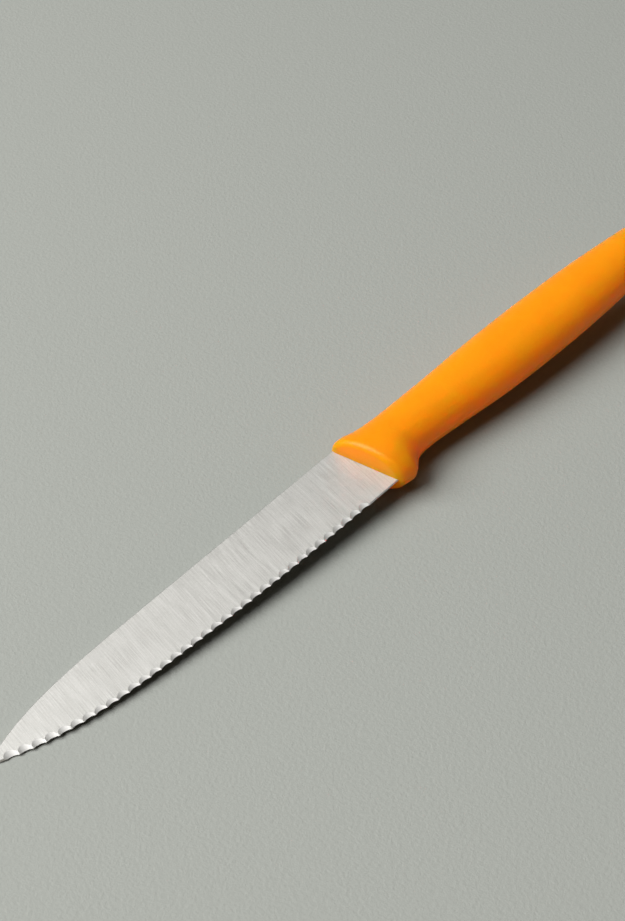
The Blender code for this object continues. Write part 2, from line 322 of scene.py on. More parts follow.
def new_maker(name, inputs):
    """A Geometry Nodes tree with named inputs. Returns the tree and its input sockets by name."""
    tree = bpy.data.node_groups.new(name, "GeometryNodeTree")
    tree.interface.new_socket("Geometry", in_out="INPUT", socket_type="NodeSocketGeometry")
    for label, kind in inputs.items():
        tree.interface.new_socket(label, in_out="INPUT", socket_type="NodeSocket" + kind)
    tree.interface.new_socket("Geometry", in_out="OUTPUT", socket_type="NodeSocketGeometry")
    entry = tree.nodes.new("NodeGroupInput")
    return tree, {socket.name: socket for socket in entry.outputs if socket.name}


def end_maker(tree, geometry, materials):
    """The tree's end: instances are made real and each material goes on the faces that its field picks."""
    made = add_node(tree, "GeometryNodeRealizeInstances", {"Geometry": geometry}).outputs[0]
    for material, picked in materials:
        inputs = {"Geometry": made, "Material": material}
        if picked is not None:
            inputs["Selection"] = picked
        made = add_node(tree, "GeometryNodeSetMaterial", inputs).outputs[0]
    add_node(tree, "NodeGroupOutput", {0: made})


def made_by(tree, start, values, name):
    """The plain mesh that the tree makes from the start mesh with these input values."""
    carrier = new_object(name, start)
    modifier = carrier.modifiers.new(tree.name, "NODES")
    modifier.node_group = tree
    for item in tree.interface.items_tree:
        if item.in_out == "INPUT" and item.name in values:
            modifier[item.identifier] = values[item.name]
    bpy.context.view_layer.update()
    evaluated = carrier.evaluated_get(bpy.context.evaluated_depsgraph_get())
    mesh = bpy.data.meshes.new_from_object(evaluated)
    carrier.modifiers.remove(modifier)
    bpy.data.objects.remove(carrier, do_unlink=True)
    mesh.name = name
    for i in reversed(range(len(mesh.materials))):
        if mesh.materials[i] is None:
            mesh.materials.pop(index=i)
    return mesh


def finished_piece(name, mesh):
    """The piece, at its place in the frame, with its object at the origin."""
    mesh.transform(Matrix.Translation(ORIGIN))
    return new_object(name, mesh)


def vertices_at(bm, corners):
    """New vertices at corners that are given in millimetres."""
    return [bm.verts.new(Vector(corner) * MM) for corner in corners]


def vertex_pairs(bm, outline, half_at, grow=0.0):
    """An upper and a lower vertex for each point of an outline."""
    pairs = []
    for x, y in outline:
        half = half_at(x, y) + grow
        pairs.append(vertices_at(bm, ((x, y, half), (x, y, -half))))
    return pairs


def spine_rows(bm, outline):
    """A row of vertices over the spine's two rounded corners at each point of its outline."""
    rows = []
    for i, (x, y) in enumerate(outline):
        before, after = Vector(outline[max(i - 1, 0)]), Vector(outline[min(i + 1, len(outline) - 1)])
        along = (after - before).normalized()
        inward = Vector((along.y, -along.x))
        if i == 0:
            inward = Vector((0.0, -1.0))
        if i == len(outline) - 1:
            inward = Vector((FRONT_LEAN, -1.0)).normalized()
        ease = SPINE_EASE_TIP + (SPINE_EASE - SPINE_EASE_TIP) * smoothstep(x / SPINE_EASE_FADE)
        upper = []
        for step in range(SPINE_EASE_STEPS + 1):
            angle = math.pi / 2 * step / SPINE_EASE_STEPS
            place = Vector((x, y)) + inward * ease * (1 - math.sin(angle))
            upper.append((place.x, place.y, ground_half(*place) - ease * (1 - math.cos(angle))))
        lower = [(px, py, -pz) for px, py, pz in reversed(upper)]
        rows.append(vertices_at(bm, upper + lower))
    return rows


def shoulder_fillet(direction, grow):
    """From the shoulder round to the tang's root: direction 1 towards the spine, -1 towards the edge."""
    side = TANG_MIDDLE + direction * (TANG_ROOT_HALF + grow)
    radius = TANG_FILLET - grow
    outer = side + direction * radius
    corner = (shoulder_x(side, grow), side)
    curve = ((shoulder_x(outer, grow), outer), corner, (corner[0] + radius, side))
    return bezier(curve, TANG_CURVE_STEPS)


def upper_shoulder(grow):
    """From the spine down to the tang's root, inside the handle."""
    spine = spine_y(shoulder_x(SPINE_AT_FRONT, grow)) + grow
    return [(shoulder_x(spine, grow), spine)] + shoulder_fillet(1, grow)


def lower_shoulder(grow):
    """From the tang's root round on to the lower shoulder."""
    return shoulder_fillet(-1, grow)[::-1]


def tang_outline(grow):
    """From the tang's root along its upper side, round its end and back along its lower side."""
    top_root = upper_shoulder(grow)[-1]
    bottom_root = lower_shoulder(grow)[0]
    radius = TANG_END_HALF + grow
    points = [(top_root[0] + TANG_STEP, top_root[1])]
    for i in range(TANG_CURVE_STEPS + 1):
        angle = math.pi * (0.5 - i / TANG_CURVE_STEPS)
        along = TANG_END - TANG_END_HALF + radius * math.cos(angle)
        points.append((along, TANG_MIDDLE + radius * math.sin(angle)))
    points.append((bottom_root[0] + TANG_STEP, bottom_root[1]))
    return points


def add_walls_and_tang(bm, before, after, grow=0.0):
    """The walls along the vertex pairs before and after the tang and along the tang, and the tang's sides."""
    tang = vertex_pairs(bm, tang_outline(grow), strip_half, grow)
    chain = before + tang + after
    for pair, following in zip(chain, chain[1:]):
        bm.faces.new((pair[0], following[0], following[1], pair[1]))
    for side in (0, 1):
        bm.faces.new([pair[side] for pair in tang])
        bm.faces.new((before[-1][side], tang[0][side], tang[-1][side], after[0][side]))


def edge_row(bm, x):
    """A vertex on the upper side, one on the cutting edge and one on the lower side."""
    top = bevel_top(x, PLAIN_BEVEL_HEIGHT)
    back = bevel_top(x, BACK_BEVEL_HEIGHT)
    cutting = edge_y(x)
    cutting_z = BACK_BEVEL_SLOPE * (back - cutting) - ground_half(x, back)
    corners = ((top, ground_half(x, top)), (cutting, cutting_z), (back, -ground_half(x, back)))
    return vertices_at(bm, [(x, y, z) for y, z in corners])


def blank_mesh():
    """The blade before its serration, with its cutting edge and its fine ground bevels marked."""
    bm = bmesh.new()
    cutting_edge = bm.verts.layers.bool.new("cutting_edge")
    fine_ground = bm.faces.layers.bool.new("fine_ground")
    heel = shoulder_x(edge_y(BLADE_LENGTH))
    edge_places = [TIP_BLUNT] + [x for x, y in EDGE_LINE if TIP_BLUNT < x < heel] + [heel]
    tip = (TIP_BLUNT, spine_y(TIP_BLUNT))
    shoulder = upper_shoulder(0.0)
    spine = spine_rows(bm, [tip] + SPINE_LINE[1:] + shoulder[:1])
    above = vertex_pairs(bm, shoulder[1:], ground_half)
    below = vertex_pairs(bm, lower_shoulder(0.0), ground_half)
    rows = [edge_row(bm, x) for x in edge_places]
    add_walls_and_tang(bm, above, below)
    for row, following in zip(spine, spine[1:]):
        for i in range(len(row) - 1):
            bm.faces.new((row[i], following[i], following[i + 1], row[i + 1]))
    bm.faces.new((*spine[-1], above[0][1], above[0][0]))
    for side, column in ((0, 0), (-1, 2)):
        ends = [row[column] for row in reversed(rows)]
        bm.faces.new([line[side] for line in spine + above + below] + ends)
    bevels = []
    for row, following in zip(rows, rows[1:]):
        bevels.append(bm.faces.new((row[0], following[0], following[1], row[1])))
        bevels.append(bm.faces.new((row[1], following[1], following[2], row[2])))
    bm.faces.new((*rows[0], *reversed(spine[0])))
    bm.faces.new((below[-1][0], *rows[-1], below[-1][1]))
    for face in bevels:
        face[fine_ground] = True
    for row in rows:
        row[1][cutting_edge] = True
    return mesh_of(bm, "blade_blank")


def rod(tree, sides, radius, length):
    """A cylinder along z, with its middle at the origin."""
    inputs = {"Vertices": sides, "Radius": radius, "Depth": length}
    return add_node(tree, "GeometryNodeMeshCylinder", inputs).outputs["Mesh"]


def upright_pair(tree, start, step, sides, radius, length):
    """Two rods that stand along z, for the tang's holes and for the pegs in them."""
    places = add_node(tree, "GeometryNodeMeshLine", {"Count": 2, "Start Location": start, "Offset": step})
    inputs = {"Points": places.outputs[0], "Instance": rod(tree, sides, radius, length)}
    return add_node(tree, "GeometryNodeInstanceOnPoints", inputs).outputs[0]


def scallop_peaks(tree, given):
    """A point for each tooth, well below the peak of its scallop in the cutting edge."""
    reach = given["Reach"]
    half_down = maths(tree, "MULTIPLY", reach, -0.5)
    # A fence along the cutting edge finds the edge's height and slope at each tooth
    edge_line = add_node(
        tree,
        "GeometryNodeSeparateGeometry",
        {"Geometry": given["Geometry"], "Selection": named_field(tree, "cutting_edge", "BOOLEAN")},
        domain="POINT",
    ).outputs["Selection"]
    fence = add_node(
        tree,
        "GeometryNodeExtrudeMesh",
        {
            "Mesh": moved(tree, edge_line, combine(tree, 0.0, 0.0, half_down)),
            "Offset": combine(tree, 0.0, 0.0, reach),
            "Offset Scale": 1.0,
        },
        mode="EDGES",
    ).outputs["Mesh"]
    teeth = add_node(
        tree,
        "GeometryNodeMeshLine",
        {
            "Count": given["Teeth"],
            "Start Location": given["First Tooth"],
            "Offset": combine(tree, given["Pitch"], 0.0, 0.0),
        },
    ).outputs[0]
    to_edge = add_node(
        tree,
        "GeometryNodeRaycast",
        {"Target Geometry": fence, "Ray Direction": (0.0, 1.0, 0.0), "Ray Length": reach},
    )
    facing = separate(tree, to_edge.outputs["Hit Normal"])
    slope = maths(tree, "DIVIDE", facing[0], facing[1])
    lost = maths(tree, "MULTIPLY", given["Slope Loss"], maths(tree, "MULTIPLY", slope, slope))
    depth = maths(tree, "SUBTRACT", given["Hollow Depth"], lost)
    at_edge = separate(tree, to_edge.outputs["Hit Position"])
    peak = combine(tree, at_edge[0], maths(tree, "ADD", at_edge[1], depth), half_down)
    return placed(tree, teeth, peak)


def serration_maker():
    """The tree that drills the tang's holes and grinds the row of hollows along the cutting edge."""
    tree, given = new_maker(
        "serration",
        {
            "Teeth": "Int",
            "Pitch": "Float",
            "First Tooth": "Vector",
            "Hollow Depth": "Float",
            "Slope Loss": "Float",
            "Wheel Radius": "Float",
            "Wheel Width": "Float",
            "Wheel Sides": "Int",
            "Wheel Tilt": "Float",
            "Reach": "Float",
            "First Hole": "Vector",
            "Hole Spacing": "Vector",
            "Hole Radius": "Float",
            "Drill Length": "Float",
            "Drill Sides": "Int",
            "Side Steel": "Material",
            "Edge Steel": "Material",
        },
    )
    blank = given["Geometry"]
    peaks = scallop_peaks(tree, given)
    # The hollow's floor meets the back bevel at its peak, and the wheel stands on that floor
    to_bevel = add_node(
        tree,
        "GeometryNodeRaycast",
        {"Target Geometry": blank, "Ray Direction": (0.0, 0.0, 1.0), "Ray Length": given["Reach"]},
    )
    up = combine(
        tree,
        0.0,
        maths(tree, "MULTIPLY", maths(tree, "SINE", given["Wheel Tilt"]), -1.0),
        maths(tree, "COSINE", given["Wheel Tilt"]),
    )
    hub = added(tree, to_bevel.outputs["Hit Position"], scaled(tree, up, given["Wheel Radius"]))
    wheel = rod(tree, given["Wheel Sides"], given["Wheel Radius"], given["Wheel Width"])
    marked = add_node(
        tree,
        "GeometryNodeStoreNamedAttribute",
        {"Geometry": wheel, "Name": "fine_ground", "Value": True},
        data_type="BOOLEAN",
        domain="FACE",
    ).outputs[0]
    turn = combine(tree, maths(tree, "SUBTRACT", given["Wheel Tilt"], math.pi / 2), 0.0, 0.0)
    wheels = add_node(
        tree,
        "GeometryNodeInstanceOnPoints",
        {"Points": placed(tree, peaks, hub), "Instance": marked, "Rotation": turn},
    ).outputs[0]
    drills = upright_pair(
        tree,
        given["First Hole"],
        given["Hole Spacing"],
        given["Drill Sides"],
        given["Hole Radius"],
        given["Drill Length"],
    )
    ground = cut_from(tree, blank, wheels, drills, overlapping=True)
    fine = named_field(tree, "fine_ground", "BOOLEAN")
    end_maker(tree, ground, [(given["Side Steel"], None), (given["Edge Steel"], fine)])
    return tree


def mark_sharp(mesh, limit, flat_limit):
    """Smooth shading, broken past a limit in degrees, and past another one beside nearly level faces."""
    flat = math.cos(math.radians(LYING_FLAT))
    bm = bmesh.new()
    bm.from_mesh(mesh)
    for face in bm.faces:
        face.smooth = True
    for edge in bm.edges:
        a, b = edge.link_faces
        beside_flat = max(abs(a.normal.z), abs(b.normal.z)) > flat
        allowed = flat_limit if beside_flat else limit
        bend = math.degrees(a.normal.angle(b.normal, 0.0))
        edge.smooth = a.material_index == b.material_index and bend < allowed
    bm.to_mesh(mesh)
    bm.free()


def lay_grain(mesh):
    """A UV map in millimetres, along and up the knife, for the direction of the grinding marks."""
    bm = bmesh.new()
    bm.from_mesh(mesh)
    layer = bm.loops.layers.uv.new("grain")
    for face in bm.faces:
        on_side = abs(face.normal.y) < abs(face.normal.z)
        for loop in face.loops:
            x, y, z = loop.vert.co / MM
            loop[layer].uv = (x, y if on_side else z)
    bm.to_mesh(mesh)
    bm.free()


def build_blade(side_steel, edge_steel):
    """The whole strip: the ground and serrated blade with its tang."""
    closing = math.tan(WHEEL_TILT) + BACK_BEVEL_SLOPE
    spread = 2.0 * HOLLOW_RADIUS * closing
    first = LAST_TOOTH - (TOOTH_COUNT - 1) * TOOTH_PITCH
    values = {
        "Teeth": TOOTH_COUNT,
        "Pitch": TOOTH_PITCH * MM,
        "First Tooth": (first * MM, -REACH / 2 * MM, 0.0),
        "Hollow Depth": TOOTH_PITCH**2 / (4.0 * spread) * MM,
        "Slope Loss": spread / 4.0 * MM,
        "Wheel Radius": WHEEL_RADIUS * MM,
        "Wheel Width": WHEEL_WIDTH * MM,
        "Wheel Sides": WHEEL_SIDES,
        "Wheel Tilt": WHEEL_TILT,
        "Reach": REACH * MM,
        "First Hole": (TANG_HOLES[0] * MM, TANG_MIDDLE * MM, 0.0),
        "Hole Spacing": (HOLE_SPACING * MM, 0.0, 0.0),
        "Hole Radius": TANG_HOLE_RADIUS * MM,
        "Drill Length": DRILL_LENGTH * MM,
        "Drill Sides": HOLE_SIDES,
        "Side Steel": side_steel,
        "Edge Steel": edge_steel,
    }
    mesh = made_by(serration_maker(), blank_mesh(), values, "ground_blade")
    mark_sharp(mesh, CREASE, FLAT_CREASE)
    lay_grain(mesh)
    return finished_piece("ground_blade", mesh)


def section_at(u):
    """Middle height, half depth and half thickness at u behind the front face, by a smooth curve."""
    table = HANDLE_SECTIONS
    i = 0
    while i < len(table) - 2 and u > table[i + 1][0]:
        i += 1
    span = table[i + 1][0] - table[i][0]
    t = (u - table[i][0]) / span
    values = []
    for column in (1, 2, 3):
        slopes = []
        for j in (i, i + 1):
            low, high = table[max(j - 1, 0)], table[min(j + 1, len(table) - 1)]
            slopes.append((high[column] - low[column]) / (high[0] - low[0]))
        start, end = table[i][column], table[i + 1][column]
        ends = start + (end - start) * smoothstep(t)
        bend = slopes[0] * t * (1.0 - t) ** 2 - slopes[1] * t**2 * (1.0 - t)
        values.append(ends + span * bend)
    return values


def handle_stations():
    """Along the handle: distance behind the front face, and the section's inset and scale."""
    stations = [(0.0, RIM_RADIUS + RIM_LAND, 1.0)]
    for i in range(RIM_STEPS + 1):
        angle = math.pi / 2 * i / RIM_STEPS
        stations.append((RIM_RADIUS * (1 - math.cos(angle)), RIM_RADIUS * (1 - math.sin(angle)), 1.0))
    butt_start = HANDLE_LENGTH - BUTT_MARGIN - BUTT_LENGTH
    for start, end, step in ((RIM_RADIUS, GUARD_LENGTH, GUARD_STEP), (GUARD_LENGTH, butt_start, GRIP_STEP)):
        count = math.ceil((end - start) / step)
        stations += [(start + (end - start) * i / count, 0.0, 1.0) for i in range(1, count + 1)]
    for i in range(1, BUTT_STEPS + 1):
        angle = math.pi / 2 * i / BUTT_STEPS
        along = BUTT_LENGTH * math.sin(angle) ** (2 / BUTT_POWER)
        stations.append((butt_start + along, 0.0, max(math.cos(angle), 0.0) ** (2 / BUTT_POWER)))
    return stations


def station_row():
    """One vertex a station, which holds the size of the handle's section there."""
    stations = handle_stations()
    mesh = bpy.data.meshes.new("handle_stations")
    mesh.vertices.add(len(stations))
    for name in ("half_depth", "half_thickness", "lean"):
        mesh.attributes.new(name, "FLOAT", "POINT")
    for i, (u, inset, scale) in enumerate(stations):
        middle, depth, thickness = section_at(u)
        mesh.vertices[i].co = Vector((BLADE_LENGTH + u, middle, 0.0)) * MM
        mesh.attributes["half_depth"].data[i].value = (depth - inset - SHELL_MARGIN) * scale * MM
        mesh.attributes["half_thickness"].data[i].value = (thickness - inset - SHELL_MARGIN) * scale * MM
        mesh.attributes["lean"].data[i].value = FRONT_LEAN * (1 - smoothstep(u / LEAN_FADE))
    return mesh


def pocket_mesh():
    """The room for the blade's shoulders and tang, open at the front."""
    bm = bmesh.new()
    grow = MOULD_FIT
    spine_x = front_x(SPINE_AT_FRONT) - POCKET_OVERRUN
    heel_y = edge_y(BLADE_LENGTH) - grow
    mouth = [(spine_x, spine_y(spine_x) + grow)]
    heel = [(shoulder_x(heel_y, grow), heel_y), (front_x(heel_y) - POCKET_OVERRUN, heel_y)]
    before = vertex_pairs(bm, mouth + upper_shoulder(grow), ground_half, grow)
    after = vertex_pairs(bm, lower_shoulder(grow) + heel, ground_half, grow)
    add_walls_and_tang(bm, before, after, grow)
    for side in (0, 1):
        bm.faces.new([pair[side] for pair in before + after])
    bm.faces.new((*before[0], *reversed(after[-1])))
    return mesh_of(bm, "tang_pocket")


def handle_skin(tree, given):
    """A tube whose rings lie on the sections of the handle's stations."""
    row = given["Geometry"]
    last = maths(tree, "SUBTRACT", given["Stations"], 1.0)
    tube = add_node(
        tree,
        "GeometryNodeMeshCylinder",
        {"Vertices": given["Sides"], "Side Segments": last, "Radius": 1.0, "Depth": 1.0},
    ).outputs["Mesh"]
    at = separate(tree, position(tree))
    index = maths(tree, "ROUND", maths(tree, "MULTIPLY", maths(tree, "ADD", at[2], 0.5), last))

    def at_station(value, kind="FLOAT"):
        """The value that the row's station for this ring holds."""
        reader = add_node(tree, "GeometryNodeSampleIndex", {"Geometry": row, "Index": index}, data_type=kind)
        tree.links.new(value, reader.inputs["Value"])
        return reader.outputs["Value"]

    half_depth = at_station(named_field(tree, "half_depth"))
    half_thickness = at_station(named_field(tree, "half_thickness"))
    lean = at_station(named_field(tree, "lean"))
    place = separate(tree, at_station(position(tree), "FLOAT_VECTOR"))
    even = maths(tree, "ARCTAN2", at[1], at[0])
    swing = maths(tree, "SINE", maths(tree, "MULTIPLY", even, 2.0))
    shift = maths(tree, "MULTIPLY", swing, maths(tree, "MULTIPLY", given["Crowding"], 0.5))
    angle = maths(tree, "SUBTRACT", even, shift)
    power = maths(tree, "DIVIDE", 2.0, given["Section Power"])

    def rounded(wave, half):
        """Along one half axis of the section, which is a rounder or squarer ellipse by its power."""
        size = maths(tree, "POWER", maths(tree, "ABSOLUTE", wave), power)
        return maths(tree, "MULTIPLY", maths(tree, "MULTIPLY", size, maths(tree, "SIGN", wave)), half)

    y = maths(tree, "ADD", place[1], rounded(maths(tree, "COSINE", angle), half_depth))
    z = rounded(maths(tree, "SINE", angle), half_thickness)
    above = maths(tree, "SUBTRACT", y, given["Front Middle"])
    x = maths(tree, "SUBTRACT", place[0], maths(tree, "MULTIPLY", lean, above))
    on_skin = combine(tree, x, y, z)
    return placed(tree, tube, on_skin)


def with_parting_line(tree, given, skin):
    """The skin with a fine ridge where it crosses the middle plane."""
    height = separate(tree, position(tree))[2]
    off = maths(tree, "DIVIDE", height, given["Seam Width"])
    bell = maths(tree, "EXPONENT", maths(tree, "MULTIPLY", maths(tree, "MULTIPLY", off, off), -1.0))
    normal = add_node(tree, "GeometryNodeInputNormal").outputs[0]
    ridge = scaled(tree, normal, maths(tree, "MULTIPLY", bell, given["Seam Height"]))
    return moved(tree, skin, ridge)


def handle_maker():
    """The tree that lofts the handle through its stations and moulds it round the blade's tang."""
    tree, given = new_maker(
        "moulded_handle",
        {
            "Stations": "Int",
            "Sides": "Int",
            "Crowding": "Float",
            "Section Power": "Float",
            "Front Middle": "Float",
            "Pole Weld": "Float",
            "Seam Height": "Float",
            "Seam Width": "Float",
            "Pocket": "Object",
            "First Peg": "Vector",
            "Peg Spacing": "Vector",
            "Peg Radius": "Float",
            "Peg Length": "Float",
            "Peg Sides": "Int",
            "Plastic": "Material",
        },
    )
    welded = add_node(
        tree,
        "GeometryNodeMergeByDistance",
        {"Geometry": handle_skin(tree, given), "Distance": given["Pole Weld"]},
    ).outputs[0]
    skin = with_parting_line(tree, given, welded)
    pocket = add_node(tree, "GeometryNodeObjectInfo", {"Object": given["Pocket"]}).outputs["Geometry"]
    pegs = upright_pair(
        tree,
        given["First Peg"],
        given["Peg Spacing"],
        given["Peg Sides"],
        given["Peg Radius"],
        given["Peg Length"],
    )
    moulded = cut_from(tree, skin, cut_from(tree, pocket, pegs))
    end_maker(tree, moulded, [(given["Plastic"], None)])
    return tree


def build_handle(plastic):
    """The handle, moulded round the tang."""
    pocket = new_object("tang_pocket", pocket_mesh())
    row = station_row()
    values = {
        "Stations": len(row.vertices),
        "Sides": SECTION_SIDES,
        "Crowding": SEAM_CROWDING,
        "Section Power": SECTION_POWER,
        "Front Middle": FRONT_MIDDLE * MM,
        "Pole Weld": POLE_WELD * MM,
        "Seam Height": SEAM_HEIGHT * MM,
        "Seam Width": SEAM_WIDTH * MM,
        "Pocket": pocket,
        "First Peg": (TANG_HOLES[0] * MM, TANG_MIDDLE * MM, 0.0),
        "Peg Spacing": (HOLE_SPACING * MM, 0.0, 0.0),
        "Peg Radius": (TANG_HOLE_RADIUS - MOULD_FIT) * MM,
        "Peg Length": DRILL_LENGTH * MM,
        "Peg Sides": HOLE_SIDES,
        "Plastic": plastic,
    }
    mesh = made_by(handle_maker(), row, values, "moulded_handle")
    bpy.data.objects.remove(pocket, do_unlink=True)
    mark_sharp(mesh, CREASE, CREASE)
    return finished_piece("moulded_handle", mesh)


# Steel: the sizes of marks are given across and along them, in millimetres
GRAIN_LEAN = math.radians(-8.0)   # the grinding marks lean towards the tip at the edge
GRAIN_RANGE = (0.35, 0.65)        # the part of the marks' own range that makes the whole contrast
COARSE_SHARE, FINE_SHARE = 0.3, 0.7
MARKS_SHARE, CLOUD_SHARE, SPECKLE_SHARE = 0.7, 0.12, 0.18
CLOUD_SIZE = 7.0
SPECKLE_SIZE = 0.35
GRAIN_RELIEF = 0.0015
SIDE_FINISH = {
    "coarse": (0.42, 18.0),
    "fine": (0.2, 8.0),
    "dark": (0.37, 0.361, 0.341),
    "light": (0.526, 0.517, 0.495),
    "roughness": (0.42, 0.50),
    "anisotropy": 0.7,
}
EDGE_FINISH = {
    "coarse": (0.4, 20.0),
    "fine": (0.12, 8.0),
    "dark": (0.56, 0.551, 0.534),
    "light": (0.63, 0.62, 0.602),
    "roughness": (0.57, 0.65),
    "anisotropy": 0.3,
}

# Plastic: a deep orange with a very fine pebble
ORANGE_DARK = (1.0, 0.288, 0.0)
ORANGE_LIGHT = (1.0, 0.318, 0.001)
ORANGE_ROUGHNESS = (0.30, 0.40)
ORANGE_SPECULAR = 0.2
BLUSH_SIZE = 9.0          # of the soft patches of the two oranges
PEBBLE_SIZE = 0.6
PEBBLE_RELIEF = 0.05
RED_DEPTH = 20.0          # how far red, green and blue light travel in the plastic
GREEN_DEPTH = 0.3
BLUE_DEPTH = 0.2

# Board: matt and grey, with a fine tooth
BOARD_DARK = (0.371, 0.384, 0.352)
BOARD_LIGHT = (0.388, 0.402, 0.369)
BOARD_ROUGHNESS = 0.8
BOARD_SPECULAR = 0.2
BOARD_TOOTH = 0.9
BOARD_RELIEF = 0.14


def new_material(name):
    """A material with a Principled shader. Returns it with its tree and its shader."""
    material = bpy.data.materials.new(name)
    material.use_nodes = True
    tree = material.node_tree
    return material, tree, tree.nodes["Principled BSDF"]


def noise(tree, across, along=None, turn=0.0, detail=2.0, roughness=0.5):
    """Noise with patches of these sizes in x and in y and z, in millimetres, turned about z."""
    along = along or across
    coordinates = tree.nodes.new("ShaderNodeTexCoord").outputs["Object"]
    mapping = add_node(tree, "ShaderNodeMapping", {"Vector": coordinates}, vector_type="TEXTURE")
    mapping.inputs["Rotation"].default_value = (0.0, 0.0, turn)
    mapping.inputs["Scale"].default_value = Vector((across, along, along)) * MM
    inputs = {"Vector": mapping.outputs[0], "Scale": 1.0, "Detail": detail, "Roughness": roughness}
    return add_node(tree, "ShaderNodeTexNoise", inputs).outputs["Fac"]


def spread_over(tree, value, low, high, start=0.25, end=0.75):
    """The value, from its own range start to end, spread over low to high."""
    inputs = {"Value": value, "From Min": start, "From Max": end, "To Min": low, "To Max": high}
    return add_node(tree, "ShaderNodeMapRange", inputs).outputs["Result"]


def tinted(tree, factor, dark, light):
    """A colour between two, by the factor."""
    node = add_node(tree, "ShaderNodeMix", data_type="RGBA")
    tree.links.new(factor, node.inputs[0])
    node.inputs[6].default_value = (*dark, 1.0)
    node.inputs[7].default_value = (*light, 1.0)
    return node.outputs[2]


def bumped(tree, height, relief):
    """The normal of a surface with this relief, in millimetres."""
    inputs = {"Height": height, "Distance": relief * MM, "Strength": 1.0}
    return add_node(tree, "ShaderNodeBump", inputs).outputs["Normal"]


def blended(tree, parts):
    """The sum of fields, each times its share."""
    total = maths(tree, "MULTIPLY", *parts[0])
    for field, share in parts[1:]:
        total = maths(tree, "MULTIPLY_ADD", field, share, total)
    return total


def streaks(tree, across, along):
    """Long thin streaks across the blade, sizes in millimetres."""
    return noise(tree, across, along, GRAIN_LEAN, roughness=0.6)


def ground_steel(name, coarse, fine, dark, light, roughness, anisotropy):
    """Stainless steel with straight grinding marks, coarse and fine ones, each across and along."""
    material, tree, shader = new_material(name)
    cloud = noise(tree, CLOUD_SIZE)
    speckle = noise(tree, SPECKLE_SIZE, detail=1.0)
    marks = blended(tree, [(streaks(tree, *coarse), COARSE_SHARE), (streaks(tree, *fine), FINE_SHARE)])
    tone = blended(tree, [(marks, MARKS_SHARE), (cloud, CLOUD_SHARE), (speckle, SPECKLE_SHARE)])
    colour = tinted(tree, spread_over(tree, tone, 0.0, 1.0, *GRAIN_RANGE), dark, light)
    tree.links.new(colour, shader.inputs["Base Color"])
    rough = spread_over(tree, marks, *roughness, *GRAIN_RANGE)
    tree.links.new(rough, shader.inputs["Roughness"])
    tree.links.new(bumped(tree, marks, GRAIN_RELIEF), shader.inputs["Normal"])
    shader.inputs["Metallic"].default_value = 1.0
    shader.inputs["Anisotropic"].default_value = anisotropy
    tangent = add_node(tree, "ShaderNodeTangent", direction_type="UV_MAP", uv_map="grain")
    tree.links.new(tangent.outputs[0], shader.inputs["Tangent"])
    return material


def orange_plastic():
    """Satin moulded plastic with a very fine pebble, in which red light travels and warms the shade."""
    material, tree, shader = new_material("satin_orange_plastic")
    blush = noise(tree, BLUSH_SIZE, detail=3.0)
    pebble = noise(tree, PEBBLE_SIZE)
    colour = tinted(tree, spread_over(tree, blush, 0.0, 1.0), ORANGE_DARK, ORANGE_LIGHT)
    tree.links.new(colour, shader.inputs["Base Color"])
    rough = spread_over(tree, pebble, *ORANGE_ROUGHNESS)
    tree.links.new(rough, shader.inputs["Roughness"])
    tree.links.new(bumped(tree, pebble, PEBBLE_RELIEF), shader.inputs["Normal"])
    shader.inputs["Specular IOR Level"].default_value = ORANGE_SPECULAR
    shader.subsurface_method = "BURLEY"
    shader.inputs["Subsurface Weight"].default_value = 1.0
    depths = (RED_DEPTH, GREEN_DEPTH, BLUE_DEPTH)
    shader.inputs["Subsurface Radius"].default_value = [depth / RED_DEPTH for depth in depths]
    shader.inputs["Subsurface Scale"].default_value = RED_DEPTH * MM
    return material


def grey_board():
    """The matt board that the knife lies on."""
    material, tree, shader = new_material("matt_grey_board")
    tooth = noise(tree, BOARD_TOOTH, detail=3.0, roughness=0.6)
    colour = tinted(tree, spread_over(tree, tooth, 0.0, 1.0), BOARD_DARK, BOARD_LIGHT)
    tree.links.new(colour, shader.inputs["Base Color"])
    tree.links.new(bumped(tree, tooth, BOARD_RELIEF), shader.inputs["Normal"])
    shader.inputs["Roughness"].default_value = BOARD_ROUGHNESS
    shader.inputs["Specular IOR Level"].default_value = BOARD_SPECULAR
    return material


# The board's shape: a wide round plane, whose rim stays out of the photograph's frame
FLOOR_RADIUS = 2500.0
FLOOR_SIDES = 128
FLOOR_CLEARANCE = 0.02    # the board keeps this far below the tip


def resting_slope():
    """How far the board falls for each length under a knife that rests on its tip and its guard."""
    tip_z = -ground_half(TIP_BLUNT, 0.0)
    slopes = []
    for u, inset, scale in handle_stations():
        underside = -(section_at(u)[2] - inset - SHELL_MARGIN) * scale
        slopes.append((underside - tip_z) / (BLADE_LENGTH + u - TIP_BLUNT))
    return min(slopes)


def build_floor():
    """The board under the knife, which touches its tip and its guard."""
    slope = resting_slope()
    under_tip = -ground_half(TIP_BLUNT, 0.0) - FLOOR_CLEARANCE
    bm = bmesh.new()
    corners = []
    for i in range(FLOOR_SIDES):
        angle = 2 * math.pi * i / FLOOR_SIDES
        x = BLADE_LENGTH + FLOOR_RADIUS * math.cos(angle)
        corners.append((x, FLOOR_RADIUS * math.sin(angle), under_tip + slope * x))
    bm.faces.new(vertices_at(bm, corners))
    mesh = bpy.data.meshes.new("floor")
    bm.to_mesh(mesh)
    bm.free()
    mesh.materials.append(grey_board())
    floor = finished_piece("floor", mesh)


